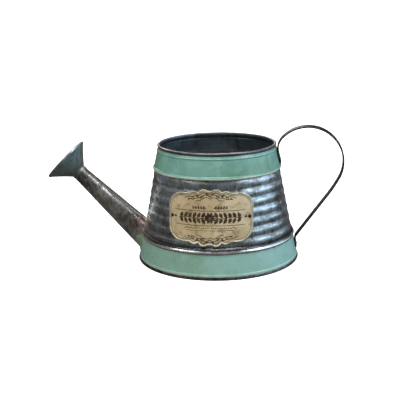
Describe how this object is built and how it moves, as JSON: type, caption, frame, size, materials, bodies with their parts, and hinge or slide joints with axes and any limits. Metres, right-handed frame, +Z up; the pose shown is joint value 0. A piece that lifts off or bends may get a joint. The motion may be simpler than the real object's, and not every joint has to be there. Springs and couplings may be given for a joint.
{
  "type": "watering can",
  "caption": "Low conical galvanised watering can with painted bands, ribbed middle, long spout with a rose, strip handle and a front plaque.",
  "frame": {"origin": "centre of the can's foot, on the plane that it stands on", "axes": "+Z up along the can's axis, +X towards the handle, -X towards the spout, -Y towards the plaque"},
  "size_m": [0.4048, 0.22, 0.1803],
  "materials": {
    "mint_paint": "aged satin paint over galvanised sheet",
    "galvanised": "dulled hot-dip zinc with a mottled spangle",
    "dark_galvanised": "darkened zinc, worn along the edges",
    "copper_braze": "dull copper-brown brazing",
    "solder": "dull grey solder",
    "plaque": "aged printed tin"
  },
  "bodies": {
    "root": {"upper_band": "mint_paint", "rim_wire": "dark_galvanised", "ribbed_shell": "galvanised", "lower_band": "mint_paint", "base_disc": "dark_galvanised", "spout_tube": "galvanised", "spout_braze": "copper_braze", "rose_funnel": "dark_galvanised", "rose_face": "dark_galvanised", "rose_solder": "solder", "handle_strip": "dark_galvanised", "handle_rivets": "solder", "label_plate": "plaque", "label_pins": "dark_galvanised"}
  },
  "joints": []
}
